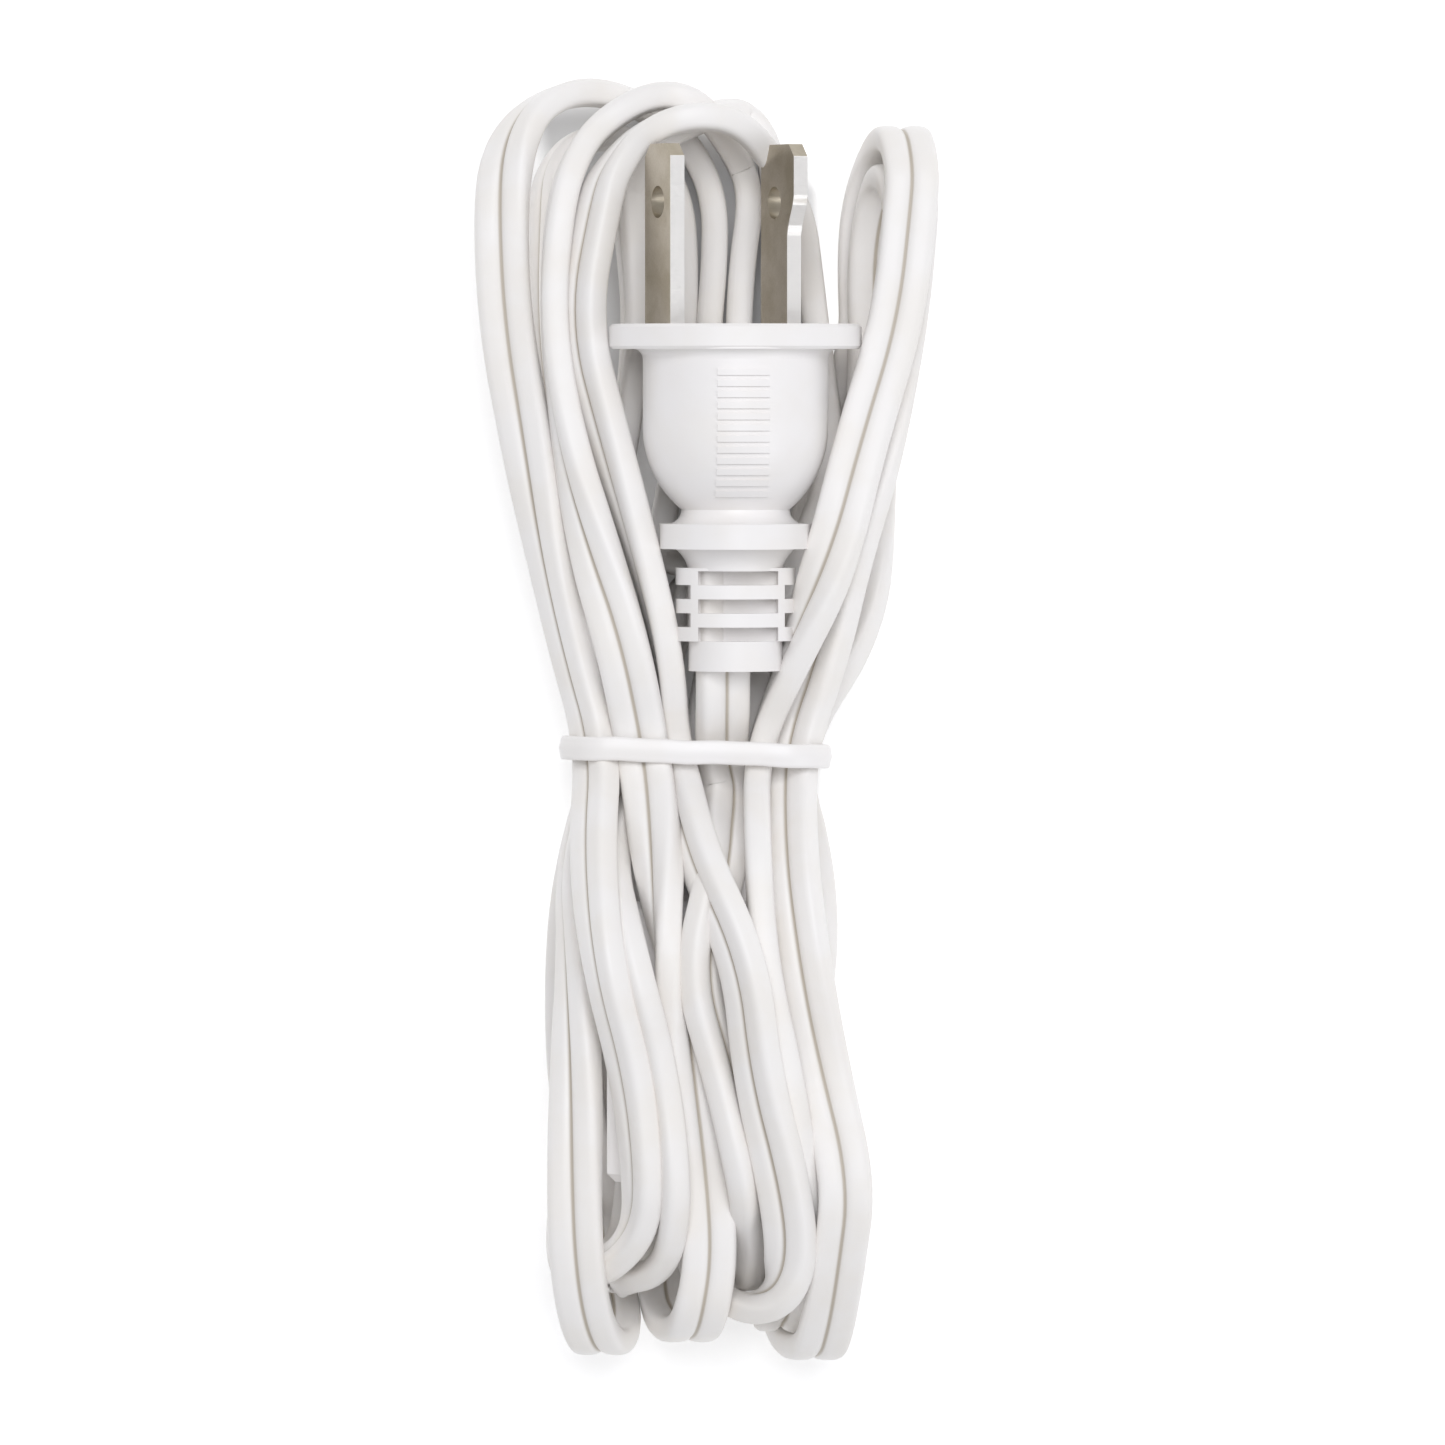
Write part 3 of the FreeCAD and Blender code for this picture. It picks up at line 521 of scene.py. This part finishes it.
def makeLead():
    path = splinePath(route, lead["stepsPerSpan"])
    weights = splineWeights(len(route), lead["stepsPerSpan"])
    face = weights @ route[:, 3]
    tangent, across = wideDirection(path, face)
    outward = np.cross(tangent, across)
    profile = twinProfile()
    rings = path[:, None] + across[:, None] * profile[:, :1] + outward[:, None] * profile[:, 1:]
    # a ring that would dip below the table is lifted onto it
    rings[..., 2] += np.clip(-rings[..., 2].min(axis=1), 0, None)[:, None]
    piece = addMesh("flat_twin_lead", rings, True, True, cordVinyl)
    along = np.concatenate([[0], np.cumsum(np.linalg.norm(np.diff(path, axis=0), axis=1))])
    # the UV map "lead": centimetres along it, and 0 in the groove to 1 at the sides
    sideways = np.abs(profile[:, 0]) / np.abs(profile[:, 0]).max()
    uv = np.zeros((len(piece.data.vertices), 2))
    onRings = rings.shape[0] * rings.shape[1]
    uv[:onRings, 0] = np.repeat(along * 100, len(profile))
    uv[:onRings, 1] = np.tile(sideways, len(path))
    layer = piece.data.uv_layers.new(name="lead")
    corners = np.empty(len(piece.data.loops), int)
    piece.data.loops.foreach_get("vertex_index", corners)
    layer.data.foreach_set("uv", uv[corners].ravel())
    return piece, path, float(along[-1])


leadPiece, leadPath, leadLength = makeLead()
print("lead length", round(leadLength, 3), "m")
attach(leadPiece, "root")
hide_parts("cord_hank", "plug_lead", "connector_lead")


# tie: a soft ribbon with a wire under its middle, pulled round the waist, and its twisted ends below
tie = {"wide": 2.4, "thick": 0.9, "rib": 0.14, "tail": 13.0, "tailR": 0.92, "twists": 4.5}
tieVinyl = vinylMaterial("tieVinyl", vinyl["moulded"])


def slanted(points):
    # turned by the tie's slant about the middle of the waist
    turn, middle = np.radians(waist["slant"]), np.array([0.5 * sum(waist["x"]), waist["y"], 0.0])
    rel = points - middle
    x = rel[..., 0] * np.cos(turn) - rel[..., 1] * np.sin(turn)
    y = rel[..., 0] * np.sin(turn) + rel[..., 1] * np.cos(turn)
    return np.stack([x, y, rel[..., 2]], axis=-1) + middle


def waistPath():
    # rounded rectangle round the strands, anticlockwise: quarter circles joined by straight runs;
    # gives each point and its outward normal, in x and z
    half = np.array([0.5 * (waist["x"][1] - waist["x"][0]), 0.5 * (waist["z"][1] - waist["z"][0])])
    centre = np.array([0.5 * sum(waist["x"]), 0.5 * sum(waist["z"])])
    points, normals = [], []
    for quarter in range(4):
        angle = np.radians(90 * quarter + np.linspace(0, 90, 17))
        normal = np.stack([np.cos(angle), np.sin(angle)], axis=1)
        middle = np.sign(normal[8]) * (half - waist["corner"])
        points.append(middle + waist["corner"] * normal)
        normals.append(normal)
        turned = np.array([-np.sin(angle[8]), np.cos(angle[8])])
        nextStart = np.sign(turned) * (half - waist["corner"]) + waist["corner"] * normal[-1]
        share = np.linspace(0, 1, 26)[1:-1, None]
        points.append(points[-1][-1] + share * (nextStart - points[-1][-1]))
        normals.append(np.repeat(normal[-1:], 24, axis=0))
    return np.concatenate(points) + centre, np.concatenate(normals)


def makeTie():
    path, normal = waistPath()
    # section of the ribbon: across its width and out from the strands, edges rounded, a low rib over the wire
    angle = np.linspace(0, 2 * np.pi, 40, endpoint=False)
    across = 0.5 * tie["wide"] * np.sign(np.cos(angle)) * np.abs(np.cos(angle)) ** 0.45
    out = 0.5 * tie["thick"] * (1 + np.sign(np.sin(angle)) * np.abs(np.sin(angle)) ** 0.6)
    out = out + tie["rib"] * np.exp(-(across / 0.32) ** 2) * (np.sin(angle) > 0) - 0.08
    sway = 0.05 * np.sin(path[:, 0] * 0.55) + 0.03 * np.sin(path[:, 0] * 1.3 + 1.0)
    rings = np.empty((len(path), len(angle), 3))
    rings[..., 0] = path[:, :1] + normal[:, :1] * out
    rings[..., 1] = waist["y"] + across + sway[:, None]
    rings[..., 2] = path[:, 1:] + normal[:, 1:] * out
    rings = np.concatenate([rings, rings[:1]])
    band = addMesh("tie_band", slanted(rings) * mm, True, False, tieVinyl)
    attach(band, "root")
    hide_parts("tie_ribbon")
    # two ends wound round each other: the section is an oval that turns along the tail
    along = np.linspace(0, 1, 120)
    turn = 2 * np.pi * tie["twists"] * along[:, None] + angle
    radius = tie["tailR"] * (0.80 + 0.20 * np.cos(2 * angle)) * np.ones_like(turn)
    tail = np.empty((len(along), len(angle), 3))
    tail[..., 0] = 0.5 * sum(waist["x"]) + tie["tail"] * along[:, None]
    tail[..., 1] = waist["y"] + radius * np.cos(turn)
    tail[..., 2] = 1.3 + radius * np.sin(turn)
    twist = addMesh("tie_twisted_ends", slanted(tail) * mm, True, True, tieVinyl)
    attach(twist, "root")
    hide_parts("tie_twist")
    print("tie made")


makeTie()


# CAD nodes shown with their own finish
finishes = {
    plugVinyl: ["plug_body", "connector_body"],
    insertPlastic: ["plug_blade_holder", "connector_face"],
    bladeMetal: ["plug_blade_hot", "plug_blade_neutral"],
    copperStrands: ["plug_strands_hot", "plug_strands_neutral", "connector_strands_hot",
                    "connector_strands_neutral"],
    contactBrass: ["connector_contact_hot", "connector_contact_neutral"],
    cordVinyl: ["plug_core_hot", "plug_core_neutral", "connector_core_hot", "connector_core_neutral"],
    tieSteel: ["tie_wire"],
}
for material, names in finishes.items():
    for name in names:
        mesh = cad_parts[name].data
        mesh.materials.clear()
        mesh.materials.append(material)


# floor, light and camera
studio = {"floor": 1.2, "cameraHeight": 1.0, "frameWidth": 0.1445, "aim": (0.00135, -0.00015),
          "focusZ": 0.014,
          "lights": (("key", (0.05, 0.3, 0.95), 0.5, 4.9), ("fill", (0.6, -0.3, 0.6), 0.4, 0.9))}


def glowingFloorPaper():
    # white paper that glows, a painted light, outside an hourglass outline drawn round the hank, and glows
    # only dimly inside it, so that the hank's own shade stays between its strands as painted shade
    fixed = {"Roughness": 0.9, "Specular IOR Level": 0.1, "Emission Strength": 0.45,
             "Base Color": colour(0.75, 0.75, 0.75)}
    material, place, shader = newMaterial("glowingFloorPaper", fixed)
    x, y = axesInMillimetres(place, 2)
    outline = 10.5 + (y + 6.0) * (y + 6.0) * 0.0016      # half the hourglass's width at each y
    sides = (x.maths("ABSOLUTE", x) - outline).between(-1.5, 1.0)
    ends = y.maths("ABSOLUTE", y - 2.0).between(58.5, 62.0)
    corner = (y + x * 0.5).between(58.5, 61.0)           # right of the loops, past the blades' tips
    beside = x.between(10.0, 11.5) * y.between(34.0, 40.0)      # between the blades and the right loops
    # painted light and shade: the floor glows white outside the outline and only dimly inside it, under the
    # hank
    glow = (sides + ends + corner + beside).clamp()
    place.feed(shader.inputs["Emission Color"], glow.blend(colour(0.1, 0.1, 0.1), colour(1, 1, 1)))
    return material


def makeStudio():
    half = studio["floor"] / 2
    corners = np.array([[[-half, -half, 0], [half, -half, 0]], [[-half, half, 0], [half, half, 0]]], float)
    floor = addMesh("floor", corners, False, False, glowingFloorPaper(), smooth=False)
    world = bpy.data.worlds.new("studio")
    bpy.context.scene.world = world
    world.use_nodes = True
    world.node_tree.nodes["Background"].inputs["Color"].default_value = colour(0.97, 0.975, 1)
    world.node_tree.nodes["Background"].inputs["Strength"].default_value = 0.5
    for name, place, size, power in studio["lights"]:
        lamp = bpy.data.lights.new(name, "AREA")
        lamp.shape = "SQUARE"
        lamp.size, lamp.energy = size, power
        lamp.color = (0.96, 0.97, 1.0)
        holder = bpy.data.objects.new(name, lamp)
        holder.location = place
        holder.rotation_euler = Vector(place).to_track_quat("Z", "Y").to_euler()
        bpy.context.scene.collection.objects.link(holder)
    camera = bpy.data.cameras.new("camera")
    camera.sensor_width = 36.0
    camera.lens = 36.0 * (studio["cameraHeight"] - studio["focusZ"]) / studio["frameWidth"]
    camera.clip_start = 0.05
    holder = bpy.data.objects.new("camera", camera)
    holder.location = (*studio["aim"], studio["cameraHeight"])
    bpy.context.scene.collection.objects.link(holder)
    bpy.context.scene.camera = holder
    bpy.context.scene.view_settings.view_transform = "Standard"


makeStudio()
print("studio ready")
